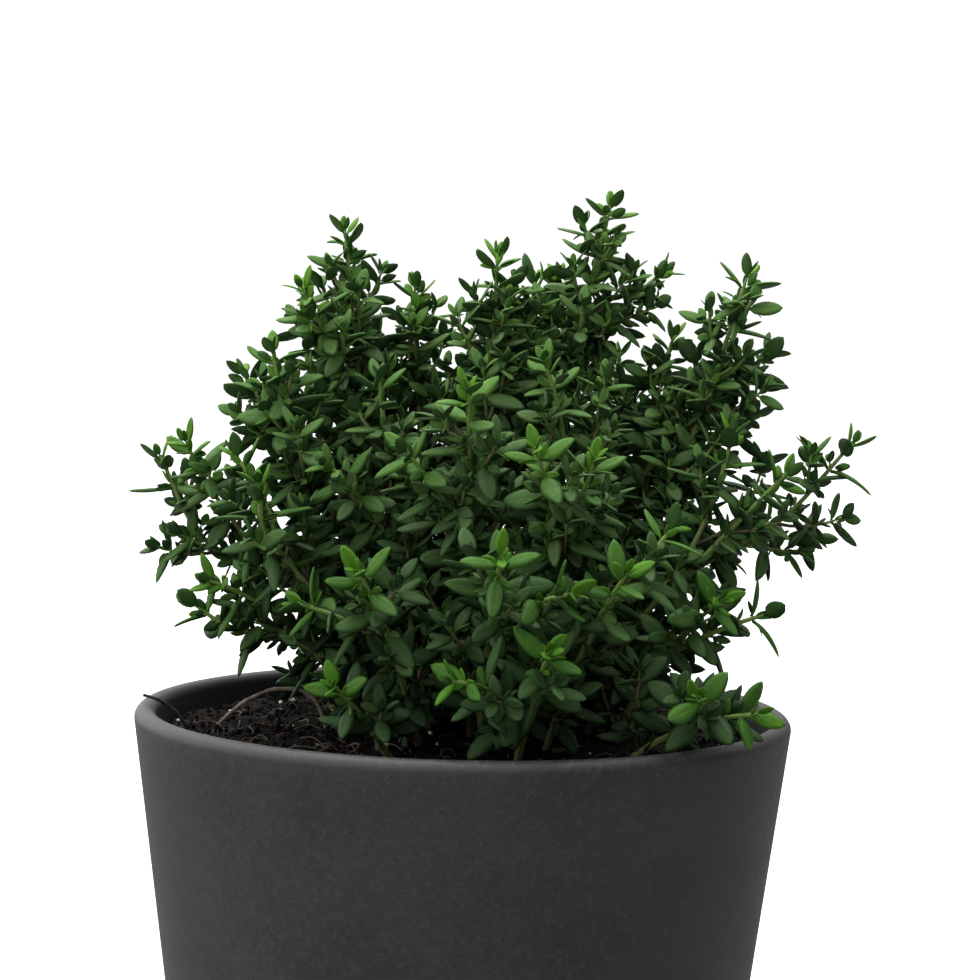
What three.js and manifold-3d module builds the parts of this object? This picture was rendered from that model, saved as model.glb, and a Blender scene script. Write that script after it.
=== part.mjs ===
// Thyme in a tapered, dark ceramic pot.
// Millimetres, +Z up. The origin is the centre of the pot's flat base.

import * as THREE from 'three';
import { mergeVertices } from 'three/addons/utils/BufferGeometryUtils.js';
import Module from 'manifold-3d';

const wasm = await Module();
wasm.setup();

// Pot
const POT_HEIGHT = 125;
const RIM_DIAMETER = 140; // outside, at its widest
const BASE_DIAMETER = 108;
const WALL = 4.6;
const FLOOR = 6;
const BASE_EDGE_RADIUS = 2;
const POT_SEGMENTS = 48;
const RIM_STEPS = 4; // straight stretches round the rim's half circle
const EDGE_STEPS = 2; // and round the base's edge

// Soil
const SOIL_LEVEL = 119; // the height of its surface at the wall
const SOIL_MOUND = 2; // how much higher it is around the stems
const SOIL_RELIEF = 0.7; // height of its lumps
const SOIL_CLEARANCE = 0.45; // to the pot's wall
const SOIL_SEGMENTS = 32;
const SOIL_RINGS = [1, 0.82, 0.62, 0.4, 0.2]; // of points on its surface, over its radius there

// Sprigs
const CROWN = [3, 0]; // the middle of the plant
const FOOT_DEPTH = 9; // of a stem below SOIL_LEVEL
const STEM_BEND = 0.55; // how far up a main stem sags most
const SHOOT_BEND = 0.45; // how far a side shoot first runs on in the main stem's direction, over its reach
const STEM_RADIUS = { root: 1.05, fork: 0.75, tip: 0.45 };
const STEM_SIDES = 4; // thyme has square stems
const STEM_STEP = 16; // length of a straight stretch of stem
const LEAF_WIDTH = 0.42; // over the leaf's length
const LEAF_THICKNESS = 0.6;
const LEAF_WIDEST = 0.52; // where a leaf is widest, over its length
const LEAF_SUNK = 0.25; // how far its base reaches into the stem
const LEAF_DROOP = 0.12; // how far its tip bends back, over its length
const GOLDEN_TURN = 2.39996; // radians between the first leaves of one shoot and the next

const TURNS_TO_TRY = [0, 0.3, -0.3, 0.6, -0.6, 0.9, -0.9]; // radians that a leaf may be turned round its stem

const GAP = 0.3; // between pieces that touch

// Leaf pairs from a shoot's tip down: distance from the tip, leaf length, and angle to the stem in degrees
const LEAF_PAIRS = [
  { down: 1.2, length: 5.4, angle: 30 },
  { down: 3.6, length: 7.6, angle: 56 },
  { down: 7.6, length: 9.3, angle: 70 },
  { down: 13, length: 9.8, angle: 79 },
  { down: 20, length: 9.6, angle: 86 },
];
const SIDE_SHOOT_PAIRS = 4;

// Each sprig: the size of its leaves, where it leaves the soil, the tip of its main stem, and either the
// points that stem passes or how far it sags outwards. Then its side shoot, with its tip and the share of the
// main stem's length at which it forks off.
const SPRIGS = [
  {
    name: 'top_right', leaves: 0.84, foot: [9, 3], tip: [29.5, 10, 234], sag: -5,
    side: { tip: [42, 13, 220], fork: 0.62 },
  },
  {
    name: 'top_left', leaves: 0.88, foot: [-5, 3], tip: [-28, 8, 227], sag: 6,
    side: { tip: [-36, -8, 214], fork: 0.5 },
  },
  {
    name: 'top_middle', leaves: 0.86, foot: [3, -3], tip: [5, -5, 222], sag: 0,
    side: { tip: [15, 4, 218], fork: 0.6 },
  },
  {
    name: 'top_inner', leaves: 0.84, foot: [-2, 9], tip: [-13, 15, 216], sag: 3,
    side: { tip: [-22, 24, 205], fork: 0.5 },
  },
  {
    name: 'top_back', leaves: 0.82, foot: [7, 9], tip: [19, 20, 219], sag: 3,
    side: { tip: [8, 30, 208], fork: 0.5 },
  },
  {
    name: 'left_upper', leaves: 0.88, foot: [-10, -3], tip: [-41.5, -12, 201], sag: 6,
    side: { tip: [-49, 0, 196], fork: 0.55 },
  },
  {
    name: 'left_far',
    leaves: 1,
    foot: [-20, 2],
    via: [[-26, 3, 137], [-36, 5, 149.5], [-48.5, 5, 154.5], [-58.5, 5, 161]],
    tip: [-67, 5, 177.5],
    side: { tip: [-60, -6, 181], fork: 0.5 },
  },
  {
    name: 'left_front',
    leaves: 1.04,
    foot: [-13, -11],
    via: [[-24, -17, 140], [-36, -24, 157], [-41, -28, 164.5]],
    tip: [-42, -30, 174],
    side: { tip: [-48, -20, 179.5], fork: 0.5 },
  },
  {
    name: 'left_low',
    leaves: 1.06,
    foot: [-21, -7],
    via: [[-27, -9, 130], [-34, -11, 139], [-49, -13, 142.5]],
    tip: [-57, -14, 147.5],
    side: { tip: [-53, -21, 153], fork: 0.4 },
  },
  {
    name: 'right_top', leaves: 0.9, foot: [17, -1], tip: [58.5, 0, 219.5], sag: 5,
    side: { tip: [65, 10, 203], fork: 0.55 },
  },
  {
    name: 'right_inner', leaves: 0.86, foot: [15, 6], tip: [44, 15, 206], sag: 4,
    side: { tip: [50, 3, 196], fork: 0.5 },
  },
  {
    name: 'right_far',
    leaves: 1.02,
    foot: [29, 2],
    via: [[37, 2, 138], [47, 2, 153.5], [58, 1, 161], [69, 0.5, 168.5]],
    tip: [82, 0, 184],
    side: { tip: [76, 6, 162.5], fork: 0.6 },
  },
  {
    name: 'right_middle',
    leaves: 1,
    foot: [23, -6],
    via: [[34, -9, 141], [50, -13, 160]],
    tip: [66.5, -15, 178],
    side: { tip: [55, -12, 186], fork: 0.5 },
  },
  {
    name: 'right_low',
    leaves: 1.08,
    foot: [29, -12],
    via: [[38, -14, 134], [50, -18, 143.5]],
    tip: [63, -20, 149],
    side: { tip: [52, -31, 152.5], fork: 0.5 },
  },
  {
    name: 'front_upper', leaves: 1, foot: [2, -12], tip: [0, -44, 194], sag: -4,
    side: { tip: [-13, -40, 182], fork: 0.5 },
  },
  {
    name: 'front_upper_right',
    leaves: 1,
    foot: [11, -14],
    tip: [25, -44, 181],
    sag: -4,
    side: { tip: [13, -50, 183], fork: 0.5 },
  },
  {
    name: 'inner_right', leaves: 0.9, foot: [10, -6], tip: [28, -15, 197], sag: 2,
    side: { tip: [15, -22, 200], fork: 0.5 },
  },
  {
    name: 'inner_left', leaves: 0.9, foot: [-5, -7], tip: [-19, -15, 196], sag: 2,
    side: { tip: [-29, -26, 178], fork: 0.45 },
  },
  {
    name: 'front_left', leaves: 1.04, foot: [-7, -19], tip: [-20.5, -55, 159], sag: -8,
    side: { tip: [-33, -42, 151], fork: 0.5 },
  },
  {
    name: 'front_middle', leaves: 1.06, foot: [3, -22], tip: [7, -68, 163.5], sag: -10,
    side: { tip: [21, -61, 156], fork: 0.55 },
  },
  {
    name: 'front_low', leaves: 1.04, foot: [10, -30], tip: [16.5, -66, 145.5], sag: -5,
    side: { tip: [-2, -62, 139], fork: 0.45 },
  },
  {
    name: 'front_right', leaves: 1.04, foot: [15, -21], tip: [31, -60, 160], sag: -8,
    side: { tip: [41, -42, 168], fork: 0.5 },
  },
  {
    name: 'front_drooping', leaves: 1.06, foot: [25, -26], tip: [57, -55, 133], sag: -8,
    side: { tip: [45, -60, 137], fork: 0.6 },
  },
  { name: 'front_left_low', leaves: 1, foot: [-10, -27], tip: [-25, -50, 136], sag: -3 },
  {
    name: 'back_upper', leaves: 0.92, foot: [2, 15], tip: [0, 42, 208], sag: -2,
    side: { tip: [-12, 50, 196], fork: 0.5 },
  },
  {
    name: 'back_upper_left', leaves: 0.9, foot: [-9, 11], tip: [-34, 34, 202], sag: 4,
    side: { tip: [-46, 30, 190], fork: 0.5 },
  },
  {
    name: 'back_upper_right', leaves: 0.9, foot: [12, 14], tip: [34, 42, 202], sag: 4,
    side: { tip: [48, 34, 194], fork: 0.5 },
  },
  {
    name: 'back_left', leaves: 0.96, foot: [-15, 18], tip: [-40, 44, 164], sag: -4,
    side: { tip: [-48, 32, 156], fork: 0.55 },
  },
  {
    name: 'back_right', leaves: 0.96, foot: [23, 15], tip: [56, 40, 170], sag: -4,
    side: { tip: [62, 30, 160], fork: 0.55 },
  },
  {
    name: 'back_middle', leaves: 1, foot: [-1, 23], tip: [-8, 66, 174], sag: -8,
    side: { tip: [8, 66, 182], fork: 0.5 },
  },
  {
    name: 'back_middle_left', leaves: 1.05, foot: [-10, 25], tip: [-30, 62, 158], sag: -7,
    side: { tip: [-41, 55, 150], fork: 0.5 },
  },
  {
    name: 'back_middle_right', leaves: 1.05, foot: [14, 24], tip: [34, 63, 162], sag: -7,
    side: { tip: [46, 56, 152], fork: 0.5 },
  },
  {
    name: 'back_low', leaves: 1.05, foot: [4, 31], tip: [4, 70, 146], sag: -5,
    side: { tip: [20, 70, 142], fork: 0.5 },
  },
  { name: 'back_low_left', leaves: 1, foot: [-24, 14], tip: [-42, 34, 138], sag: -4 },
  { name: 'back_low_right', leaves: 1, foot: [30, 10], tip: [50, 32, 139], sag: -4 },
];

// Bare stems and the twig: points along each, from its end in or on the soil
const LOOSE_STEMS = [
  {
    name: 'dry_stem_left',
    radius: 0.5,
    points: [[-27, -4, 112], [-31.5, -4, 126], [-39, -4, 128.4], [-45.8, -4.5, 126], [-52.5, -6, 120.3]],
  },
  {
    name: 'dry_stem_middle',
    radius: 0.6,
    points: [[-30, 4, 112], [-21.1, -1, 120.6], [-17.9, -0.5, 122.4], [-11, 1, 126.6]],
  },
  {
    name: 'rim_twig',
    radius: 0.5,
    points: [[-56, -1, 114], [-60.5, -3, 121.6], [-64.3, -4.7, 125.2], [-68, -6, 126.7]],
  },
];

const POT_COLOUR = { color: 0x303133, roughness: 0.6, metalness: 0 };
const SOIL_COLOUR = { color: 0x1d1512, roughness: 0.95, metalness: 0 };
const SPRIG_COLOUR = { color: 0x2f5a24, roughness: 0.6, metalness: 0 };
const DRY_STEM_COLOUR = { color: 0x6b5238, roughness: 0.8, metalness: 0 };

// A leaf's faces, from its base, left, tip, right and ridge points
const LEAF_TRIANGLES = [0, 4, 1, 1, 4, 2, 2, 4, 3, 3, 4, 0, 0, 1, 2, 0, 2, 3];

const vector = (values) => new THREE.Vector3(...values);
const radians = THREE.MathUtils.degToRad;

// A closed geometry as a solid that can be joined and cut
function solidOf(geometry) {
  geometry.deleteAttribute('normal');
  geometry.deleteAttribute('uv');
  const merged = mergeVertices(geometry);
  const corners = merged.index.array;
  const triangles = [];
  for (let i = 0; i < corners.length; i += 3) {
    const [a, b, c] = corners.slice(i, i + 3);
    if (a !== b && b !== c && c !== a) triangles.push(a, b, c);
  }
  return new wasm.Manifold(new wasm.Mesh({
    numProp: 3,
    vertProperties: merged.attributes.position.array,
    triVerts: new Uint32Array(triangles),
  }));
}

function meshOf(solid, name, look) {
  const { vertProperties, triVerts } = solid.getMesh();
  const geometry = new THREE.BufferGeometry();
  geometry.setAttribute('position', new THREE.BufferAttribute(vertProperties, 3));
  geometry.setIndex(new THREE.BufferAttribute(triVerts, 1));
  geometry.computeVertexNormals();
  const mesh = new THREE.Mesh(geometry, new THREE.MeshStandardMaterial(look));
  mesh.name = name;
  return mesh;
}

function geometryFrom(points, triangles) {
  const geometry = new THREE.BufferGeometry().setFromPoints(points);
  geometry.setIndex(triangles);
  return geometry;
}

// Points on an arc in a lathe's profile, from one angle to another
function arc(centreRadius, centreHeight, radius, from, to, steps) {
  return Array.from({ length: steps + 1 }, (_, i) => {
    const angle = from + ((to - from) * i) / steps;
    return new THREE.Vector2(centreRadius + radius * Math.cos(angle), centreHeight + radius * Math.sin(angle));
  });
}

function turned(profile, segments) {
  return new THREE.LatheGeometry(profile, segments).rotateX(Math.PI / 2);
}

// Pot: a straight taper from the base to the middle of the rounded rim
const rimRadius = WALL / 2;
const rimCentreHeight = POT_HEIGHT - rimRadius;
const taper = (RIM_DIAMETER - BASE_DIAMETER) / 2 / rimCentreHeight;
const outerRadius = (height) => BASE_DIAMETER / 2 + taper * height;
const innerRadius = (height) => outerRadius(height) - WALL;

function makePot() {
  const edge = BASE_EDGE_RADIUS;
  const profile = [
    new THREE.Vector2(0, 0),
    ...arc(outerRadius(edge) - edge, edge, edge, -Math.PI / 2, 0, EDGE_STEPS),
    ...arc(outerRadius(rimCentreHeight) - rimRadius, rimCentreHeight, rimRadius, 0, Math.PI, RIM_STEPS),
    new THREE.Vector2(innerRadius(FLOOR), FLOOR),
    new THREE.Vector2(0, FLOOR),
  ];
  return solidOf(turned(profile, POT_SEGMENTS));
}

// Soil: a block that fills the pot, with a lumpy top that rises towards the stems
function soilHeight(x, y) {
  const inwards = 1 - Math.min(1, Math.hypot(x - CROWN[0], y - CROWN[1]) / innerRadius(SOIL_LEVEL));
  const lumps = Math.sin(0.31 * x + 0.6) * Math.cos(0.27 * y) + 0.6 * Math.sin(0.17 * x - 0.41 * y);
  return SOIL_LEVEL + SOIL_MOUND * inwards + SOIL_RELIEF * lumps;
}

function makeSoilBlock() {
  const bottom = FLOOR + GAP;
  const radius = (height) => innerRadius(height) - SOIL_CLEARANCE;
  const profile = [
    new THREE.Vector2(0, bottom),
    new THREE.Vector2(radius(bottom), bottom),
    ...SOIL_RINGS.map((share) => new THREE.Vector2(share * radius(SOIL_LEVEL), SOIL_LEVEL)),
    new THREE.Vector2(0, SOIL_LEVEL),
  ];
  const block = turned(profile, SOIL_SEGMENTS);
  const place = block.attributes.position;
  for (let i = 0; i < place.count; i++) {
    if (place.getZ(i) > bottom + GAP) place.setZ(i, soilHeight(place.getX(i), place.getY(i)));
  }
  return solidOf(block);
}

// A tapering square stem along a curve. `turn` is how far its first side faces away from `flat`.
class Stem {
  constructor(curve, flat, turn, rootRadius, tipRadius) {
    this.flat = flat;
    this.turn = turn;
    this.rootRadius = rootRadius;
    this.tipRadius = tipRadius;
    this.length = curve.getLength();
    this.steps = Math.max(2, Math.round(this.length / STEM_STEP));
    this.joints = curve.getSpacedPoints(this.steps);
    this.directions = this.joints.map((_, step) => curve.getTangentAt(step / this.steps));
  }

  // The directions that its first two sides face where it runs along `along`
  across(along) {
    const side = this.flat.clone().addScaledVector(along, -this.flat.dot(along)).normalize();
    side.applyAxisAngle(along, this.turn);
    return { side, face: new THREE.Vector3().crossVectors(along, side) };
  }

  // A point on the stem's middle line and its directions there, at a share of its length
  frameAt(share) {
    const step = Math.min(this.steps - 1, Math.floor(share * this.steps));
    const [from, to] = [this.joints[step], this.joints[step + 1]];
    const point = from.clone().lerp(to, share * this.steps - step);
    const along = to.clone().sub(from).normalize();
    const radius = THREE.MathUtils.lerp(this.rootRadius, this.tipRadius, share);
    return { point, along, radius, ...this.across(along) };
  }

  // The stem's solid, grown all round and beyond its root
  solid(grown = 0) {
    const { steps } = this;
    const points = [];
    const triangles = [];
    this.joints.forEach((joint, step) => {
      const along = this.directions[step];
      const { side, face } = this.across(along);
      const radius = THREE.MathUtils.lerp(this.rootRadius, this.tipRadius, step / steps) + grown * Math.SQRT2;
      const middle = joint.clone().addScaledVector(along, step === 0 ? -grown : 0);
      for (let corner = 0; corner < STEM_SIDES; corner++) {
        const turn = (2 * Math.PI * (corner + 0.5)) / STEM_SIDES;
        const [sideways, forward] = [radius * Math.cos(turn), radius * Math.sin(turn)];
        points.push(middle.clone().addScaledVector(side, sideways).addScaledVector(face, forward));
      }
    });
    const ring = (step, corner) => step * STEM_SIDES + (corner % STEM_SIDES);
    for (let step = 0; step < steps; step++) {
      for (let corner = 0; corner < STEM_SIDES; corner++) {
        const [a, b] = [ring(step, corner), ring(step, corner + 1)];
        const [c, d] = [ring(step + 1, corner), ring(step + 1, corner + 1)];
        triangles.push(a, b, d, a, d, c);
      }
    }
    for (let corner = 1; corner < STEM_SIDES - 1; corner++) {
      triangles.push(ring(0, 0), ring(0, corner + 1), ring(0, corner));
      triangles.push(ring(steps, 0), ring(steps, corner), ring(steps, corner + 1));
    }
    return solidOf(geometryFrom(points, triangles));
  }
}

// A leaf: pointed, flat below and ridged above, its base just inside the stem and its upper face towards the
// stem's tip
function makeLeaf({ point, along, radius, side, face }, turn, { length, angle }, grown = 0) {
  const out = side.clone().multiplyScalar(Math.cos(turn)).addScaledVector(face, Math.sin(turn));
  const [sine, cosine] = [Math.sin(radians(angle)), Math.cos(radians(angle))];
  const ahead = along.clone().multiplyScalar(cosine).addScaledVector(out, sine);
  const up = along.clone().multiplyScalar(sine).addScaledVector(out, -cosine);
  const across = new THREE.Vector3().crossVectors(up, ahead);
  const start = Math.max(0, (radius * Math.SQRT1_2) / sine - LEAF_SUNK);
  const at = (forward, sideways, above) => point.clone().addScaledVector(ahead, start + forward)
    .addScaledVector(across, sideways).addScaledVector(up, above - grown);
  const widest = LEAF_WIDEST * length;
  const halfWidth = (LEAF_WIDTH * length) / 2 + grown;
  const base = at(0, 0, 0);
  const tip = at(length + grown, 0, -LEAF_DROOP * length);
  const [left, right] = [at(widest, halfWidth, 0), at(widest, -halfWidth, 0)];
  const ridge = at(widest, 0, LEAF_THICKNESS + 2 * grown);
  return solidOf(geometryFrom([base, left, tip, right, ridge], LEAF_TRIANGLES));
}

// Main stem of a sprig: from its foot in the soil to its tip, through its own points or in one sagging bow
function mainStem({ foot, via, tip, sag }, turn) {
  const root = vector([...foot, SOIL_LEVEL - FOOT_DEPTH]);
  const end = vector(tip);
  const chord = end.clone().sub(root);
  const flat = new THREE.Vector3(-chord.y, chord.x, 0).normalize();
  if (via) {
    const curve = new THREE.CatmullRomCurve3([root, ...via.map(vector), end], false, 'catmullrom');
    return new Stem(curve, flat, turn, STEM_RADIUS.root, STEM_RADIUS.tip);
  }
  const outwards = new THREE.Vector3().crossVectors(flat, chord).normalize();
  const control = root.clone().addScaledVector(chord, STEM_BEND).addScaledVector(outwards, sag);
  const curve = new THREE.QuadraticBezierCurve3(root, control, end);
  return new Stem(curve, flat, turn, STEM_RADIUS.root, STEM_RADIUS.tip);
}

// Side shoot: it leaves the main stem in that stem's direction and bends away to its own tip
function sideShoot(main, { tip, fork }, turn) {
  const { point, along } = main.frameAt(fork);
  const end = vector(tip);
  const control = point.clone().addScaledVector(along, SHOOT_BEND * point.distanceTo(end));
  const curve = new THREE.QuadraticBezierCurve3(point, control, end);
  const flat = new THREE.Vector3().crossVectors(along, end.clone().sub(point)).normalize();
  return new Stem(curve, flat, turn, STEM_RADIUS.fork, STEM_RADIUS.tip);
}

const boxesMeet = (a, b) => [0, 1, 2].every((axis) => a.min[axis] <= b.max[axis] && b.min[axis] <= a.max[axis]);

// Everything placed so far, so that a leaf goes only where nothing else is
const placed = [];

function place(owner, solid) {
  const item = { owner, solid, box: solid.boundingBox() };
  placed.push(item);
  return item;
}

// Whether a solid clears everything placed, apart from what it grows out of
function isFree(solid, growsFrom) {
  const box = solid.boundingBox();
  return placed.every((other) => growsFrom.includes(other) || !boxesMeet(box, other.box)
    || solid.intersect(other.solid).isEmpty());
}

// A stem's opposite leaves, each pair a quarter turn from the last. A leaf that would touch something else is
// turned a little round the stem, or left out.
function placeLeaves(owner, stem, stemItem, pairs, size) {
  const sized = pairs.map(({ down, length, angle }) => ({ down: down * size, length: length * size, angle }));
  sized.filter(({ down }) => down < stem.length).forEach((pair, index) => {
    const frame = stem.frameAt(1 - pair.down / stem.length);
    const growsFrom = [stemItem];
    for (const half of [0, Math.PI]) {
      const turns = TURNS_TO_TRY.map((turn) => (index * Math.PI) / 2 + half + turn);
      const free = turns.find((turn) => isFree(makeLeaf(frame, turn, pair, GAP), growsFrom));
      if (free !== undefined) growsFrom.push(place(owner, makeLeaf(frame, free, pair)));
    }
  });
}

const pot = makePot();
const soilBlock = makeSoilBlock();
place('pot', pot);
place('potting_soil', soilBlock);

const looseStems = LOOSE_STEMS.map(({ name, radius, points }) => {
  const curve = new THREE.CatmullRomCurve3(points.map(vector));
  return { name, stem: new Stem(curve, vector([0, 1, 0]), 0, radius, 0.8 * radius) };
});
looseStems.forEach(({ name, stem }) => place(name, stem.solid()));

const sprigs = SPRIGS.map((sprig, index) => {
  const main = mainStem(sprig, index * GOLDEN_TURN);
  const stems = sprig.side ? [main, sideShoot(main, sprig.side, (index + 0.5) * GOLDEN_TURN)] : [main];
  return { name: `sprig_${sprig.name}`, stems, leaves: sprig.leaves };
});
for (const sprig of sprigs) sprig.items = sprig.stems.map((stem) => place(sprig.name, stem.solid()));
sprigs.forEach(({ name, stems, leaves, items }) => {
  stems.forEach((stem, number) => {
    const pairs = number === 0 ? LEAF_PAIRS : LEAF_PAIRS.slice(0, SIDE_SHOOT_PAIRS);
    placeLeaves(name, stem, items[number], pairs, leaves);
  });
});

// The soil has a socket round each stem that stands in it
const standing = [...sprigs.map(({ stems }) => stems[0]), ...looseStems.map(({ stem }) => stem)];
const soil = standing.reduce((block, stem) => block.subtract(stem.solid(GAP)), soilBlock);

function joined(owner) {
  return placed.filter((item) => item.owner === owner).map((item) => item.solid).reduce((a, b) => a.add(b));
}

const thyme = new THREE.Group();
thyme.add(meshOf(pot, 'pot', POT_COLOUR), meshOf(soil, 'potting_soil', SOIL_COLOUR));
looseStems.forEach(({ name }) => thyme.add(meshOf(joined(name), name, DRY_STEM_COLOUR)));
sprigs.forEach(({ name }) => thyme.add(meshOf(joined(name), name, SPRIG_COLOUR)));

export default thyme;
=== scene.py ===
import math
import random
from collections import namedtuple

import bmesh
import bpy
from mathutils import Matrix, Vector, noise


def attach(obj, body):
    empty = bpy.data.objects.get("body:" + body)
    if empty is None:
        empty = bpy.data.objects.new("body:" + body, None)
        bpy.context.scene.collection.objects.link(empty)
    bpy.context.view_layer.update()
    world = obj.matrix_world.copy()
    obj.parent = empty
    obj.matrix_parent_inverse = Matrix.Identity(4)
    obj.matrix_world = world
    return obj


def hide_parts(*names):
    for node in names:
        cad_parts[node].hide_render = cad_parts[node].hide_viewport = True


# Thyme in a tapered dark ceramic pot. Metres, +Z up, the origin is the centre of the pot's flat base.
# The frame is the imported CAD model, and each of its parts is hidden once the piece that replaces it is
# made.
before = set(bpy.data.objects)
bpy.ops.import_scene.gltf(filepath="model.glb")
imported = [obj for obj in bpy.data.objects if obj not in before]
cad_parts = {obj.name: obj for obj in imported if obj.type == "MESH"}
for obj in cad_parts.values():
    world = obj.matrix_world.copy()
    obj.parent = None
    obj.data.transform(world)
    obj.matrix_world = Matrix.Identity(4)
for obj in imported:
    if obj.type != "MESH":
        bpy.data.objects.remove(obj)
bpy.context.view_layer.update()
mm = 0.001

# ---- Pot ----
# One piece of dark grey stoneware, with a straight tapered wall, a thick rounded rim and a flat base. It is
# thrown, and fired without glaze, so it stays matt, slightly mottled, and full of fine pale specks.

POT_HEIGHT = 125 * mm
RIM_RADIUS = 70 * mm
BASE_RADIUS = 54 * mm
WALL = 4.6 * mm
FLOOR = 6 * mm
BASE_EDGE = 2 * mm
RIM_CENTRE = POT_HEIGHT - WALL / 2
TAPER = (RIM_RADIUS - BASE_RADIUS) / RIM_CENTRE


class Wire:
    """An output of a node. Sums and products of wires add Math nodes to their tree."""

    def __init__(self, tree, socket):
        self.tree = tree
        self.socket = socket

    def beside(self, name):
        """Another output of the same node."""
        return self.tree.wire(self.socket.node, name)

    def math(self, operation, *others):
        values = dict(enumerate((self,) + others))
        return self.tree.add("ShaderNodeMath", {"operation": operation}, values)

    def __add__(self, other):
        return self.math("ADD", other)

    __radd__ = __add__

    def __sub__(self, other):
        return self.math("SUBTRACT", other)

    def __rsub__(self, other):
        return self.tree.add("ShaderNodeMath", {"operation": "SUBTRACT"}, {0: other, 1: self})

    def __mul__(self, other):
        return self.math("MULTIPLY", other)

    __rmul__ = __mul__

    def __pow__(self, other):
        return self.math("POWER", other)

    def __abs__(self):
        return self.math("ABSOLUTE")

    def __gt__(self, other):
        return self.math("GREATER_THAN", other)

    def __lt__(self, other):
        return self.math("LESS_THAN", other)


class Tree:
    """The node tree of a finish or of a Geometry Nodes recipe."""

    def __init__(self, nodes):
        self.nodes = nodes

    def wire(self, node, name):
        if isinstance(name, int):
            return Wire(self, node.outputs[name])
        return Wire(self, next(s for s in node.outputs if s.name == name and s.enabled))

    def add(self, kind, settings, values, output=0):
        """Adds a node: its settings first, then a value or a wire for each named socket."""
        node = self.nodes.nodes.new(kind)
        for name, setting in settings.items():
            if name == "stops":
                ramp = node.color_ramp.elements
                while len(ramp) < len(setting):
                    ramp.new(0.5)
                for stop, (place, colour) in zip(ramp, setting):
                    stop.position = place
                    stop.color = colour
            else:
                setattr(node, name, setting)
        for name, value in values.items():
            if isinstance(name, int):
                socket = node.inputs[name]
            else:
                socket = next(s for s in node.inputs if s.name == name and s.enabled)
            if isinstance(value, Wire):
                self.nodes.links.new(value.socket, socket)
            else:
                socket.default_value = value
        return self.wire(node, output) if node.outputs else None

    def mixed(self, share, low, high):
        """A colour between two others, each a wire or (red, green, blue)."""
        values = {"Factor": share}
        for side, colour in (("A", low), ("B", high)):
            values[side] = colour if isinstance(colour, Wire) else (*colour, 1)
        return self.add("ShaderNodeMix", {"data_type": "RGBA"}, values, "Result")

    def ranged(self, value, low, high, start=0.0, end=1.0):
        """Spreads value from low..high over start..end, and holds it there."""
        values = {"Value": value, "From Min": low, "From Max": high, "To Min": start, "To Max": end}
        return self.add("ShaderNodeMapRange", {"interpolation_type": "SMOOTHSTEP"}, values)

    def part(self, vector, axis):
        """One of a vector's three numbers, with the others beside it."""
        return self.add("ShaderNodeSeparateXYZ", {}, {"Vector": vector}, axis)

    def cloudy(self, place, scale, detail, roughness=0.5):
        """Soft, cloudy noise."""
        values = {"Vector": place, "Scale": scale, "Detail": detail, "Roughness": roughness}
        return self.add("ShaderNodeTexNoise", {}, values)

    def cells(self, place, scale):
        """The distance from the middle of the nearest cell, with the cell's colour beside it."""
        values = {"Vector": place, "Scale": scale, "Randomness": 1.0}
        return self.add("ShaderNodeTexVoronoi", {}, values, "Distance")


def new_finish(name):
    """An empty material, its tree, and the place on the piece that it colours."""
    material = bpy.data.materials.new(name)
    material.use_nodes = True
    material.node_tree.nodes.clear()
    tree = Tree(material.node_tree)
    return material, tree, tree.add("ShaderNodeTexCoord", {}, {}, "Object")


def surface(tree, colour, texture, least, most, relief, strength, depth, gloss=0.5):
    """Ends a material's tree in its shader. Its roughness, from least to most, follows a texture."""
    roughness = tree.ranged(texture, 0.3, 0.7, least, most)
    bump = tree.add("ShaderNodeBump", {}, {"Strength": strength, "Distance": depth, "Height": relief})
    values = {"Base Color": colour, "Roughness": roughness, "Specular IOR Level": gloss, "Normal": bump}
    shader = tree.add("ShaderNodeBsdfPrincipled", {}, values)
    tree.add("ShaderNodeOutputMaterial", {}, {"Surface": shader})


def geometry_tree(name, sizes):
    """An empty Geometry Nodes recipe with a named input for each size, its tree and its inputs."""
    group = bpy.data.node_groups.new(name, "GeometryNodeTree")
    group.interface.new_socket("Geometry", in_out="INPUT", socket_type="NodeSocketGeometry")
    for size, kind in sizes.items():
        group.interface.new_socket(size, in_out="INPUT", socket_type="NodeSocket" + kind)
    group.interface.new_socket("Geometry", in_out="OUTPUT", socket_type="NodeSocketGeometry")
    tree = Tree(group)
    return tree, tree.add("NodeGroupInput", {}, {}, "Geometry")


def finished(tree, geometry, finish):
    """What a recipe has made, real, smooth and of one finish."""
    real = tree.add("GeometryNodeRealizeInstances", {}, {"Geometry": geometry})
    smooth = tree.add("GeometryNodeSetShadeSmooth", {}, {"Geometry": real, "Shade Smooth": True})
    return tree.add("GeometryNodeSetMaterial", {}, {"Geometry": smooth, "Material": finish})


def in_scene(name, data):
    """A new object of the scene, at its origin."""
    piece = bpy.data.objects.new(name, data)
    bpy.context.collection.objects.link(piece)
    return piece


def grow(name, mesh, tree, values):
    """Runs a recipe on a mesh, and keeps what it makes as a plain object."""
    start = in_scene(name + "_start", mesh)
    modifier = start.modifiers.new("grow", "NODES")
    modifier.node_group = tree.nodes
    for item in tree.nodes.interface.items_tree:
        if item.in_out == "INPUT" and item.name in values:
            modifier[item.identifier] = values[item.name]
    depsgraph = bpy.context.evaluated_depsgraph_get()
    made = bpy.data.meshes.new_from_object(
        start.evaluated_get(depsgraph), preserve_all_data_layers=True, depsgraph=depsgraph
    )
    bpy.data.objects.remove(start)
    made.name = name
    return in_scene(name, made)


TURNING_RADIUS = 10 * mm  # of the circle that a section is swept along
WELD = 0.001 * mm  # ends of a turned piece that are this near are joined


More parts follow.
